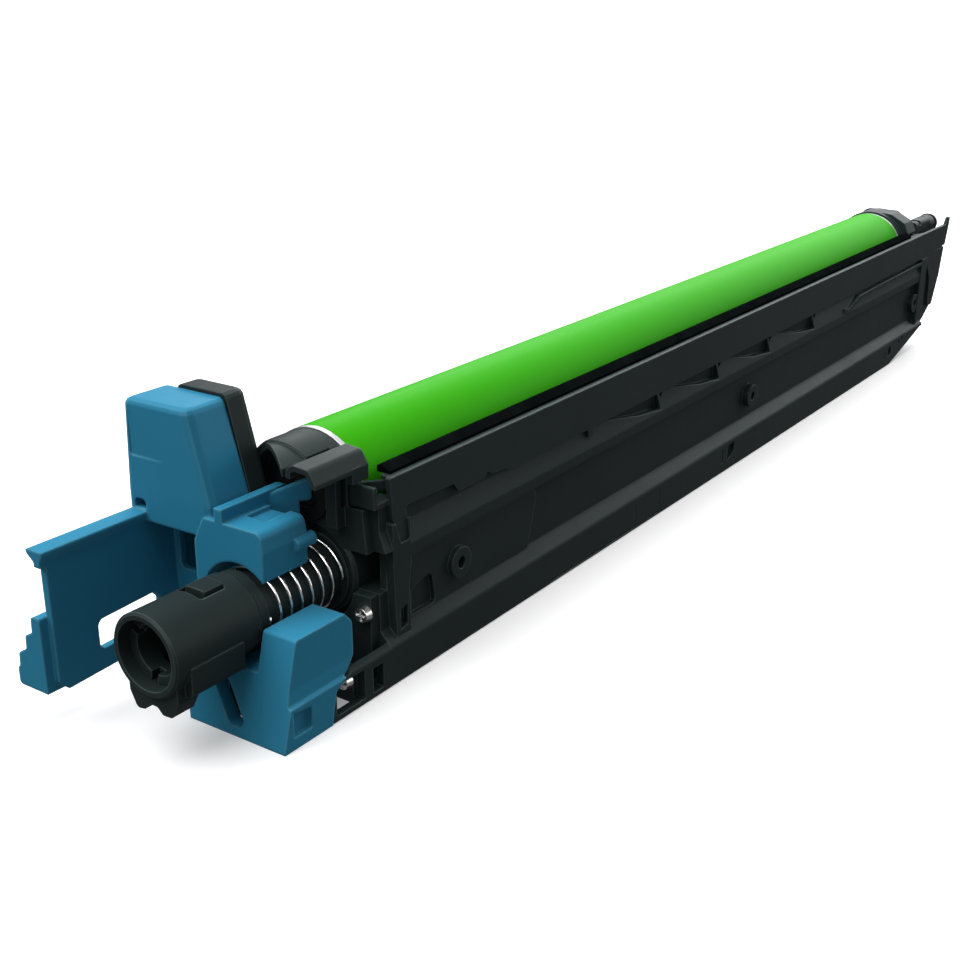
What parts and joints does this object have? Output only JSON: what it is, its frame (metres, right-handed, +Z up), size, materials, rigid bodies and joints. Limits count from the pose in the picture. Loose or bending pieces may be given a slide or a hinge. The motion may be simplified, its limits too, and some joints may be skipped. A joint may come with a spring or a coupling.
{
  "type": "printer drum unit",
  "caption": "Long drum cartridge: coated drum between end housings over a ribbed waste-toner trough, with auger, front pull arm and sliding shutter tube.",
  "frame": {"origin": "on the base plane, straight beneath the drum axis, at the middle of the coated length", "axes": "+Z up; +Y along the drum from the front (pull arm and shutter tube) to the rear (gears and drive socket); +X towards the closed side wall with the screw bosses"},
  "size_m": [0.0636, 0.4932, 0.0725],
  "materials": {
    "frame_black": "fine satin moulding",
    "frame_dark": "fine satin moulding",
    "foam_dark": "dull",
    "screw_steel": "bright plated",
    "zinc_plate": "zinc plated",
    "blade_rubber": "smooth urethane",
    "felt": "felt",
    "film": "thin film",
    "bearing_plastic": "smooth",
    "cover_blue": "satin moulding",
    "charge_black": "satin",
    "grid_steel": "etched sheet",
    "wire_steel": "fine wire",
    "drum_coating": "glossy green coating",
    "drum_rim": "turned, bright",
    "flange_plastic": "smooth",
    "gear_plastic": "smooth",
    "auger_plastic": "smooth",
    "spring_steel": "bright spring wire"
  },
  "bodies": {
    "frame": {"main_frame": "frame_black", "side_bracket": "frame_dark", "seal_strip": "foam_dark", "side_screws": "screw_steel", "blade_holder": "zinc_plate", "cleaning_blade": "blade_rubber", "blade_screws": "screw_steel", "end_seals": "felt", "recovery_film": "film", "front_housing": "frame_black", "front_bearing": "bearing_plastic", "tube_housing": "frame_dark", "spring_collar": "frame_black", "front_cover_lower": "cover_blue", "locating_block": "frame_black", "front_cover_upper": "cover_blue", "connector_block": "frame_black", "charge_case": "charge_black", "charge_grid": "grid_steel", "charge_wire": "wire_steel", "wire_blocks": "charge_black", "rear_housing": "frame_black", "rear_shroud": "frame_black", "rear_cover": "frame_dark", "rear_latch": "frame_black", "end_plate": "frame_dark", "waste_tube": "frame_black", "shutter_spring": "spring_steel"},
    "drum": {"drum_tube": "drum_coating", "drum_rims": "drum_rim", "front_flange": "flange_plastic", "drum_gear": "gear_plastic"},
    "auger": {"auger_screw": "auger_plastic", "auger_gear": "gear_plastic"},
    "shutter": {"shutter_sleeve": "frame_black"}
  },
  "joints": [
    {"name": "drum_spin", "type": "hinge", "parent": "frame", "child": "drum", "pos_m": [0, 0, 0.0475], "axis": [0, 1, 0], "continuous": true},
    {"name": "auger_spin", "type": "hinge", "parent": "frame", "child": "auger", "pos_m": [0.001, 0, 0.02652], "axis": [0, 1, 0], "continuous": true},
    {"name": "shutter_slide", "type": "slide", "parent": "frame", "child": "shutter", "axis": [0, 1, 0], "range_m": [0, 0.012], "stiffness_N_per_m": 120, "springref_m": -0.02, "deforming": ["shutter_spring"]}
  ],
  "couplings": [
    {"joint": "auger_spin", "follows": "drum_spin", "ratio": -1.5455}
  ]
}
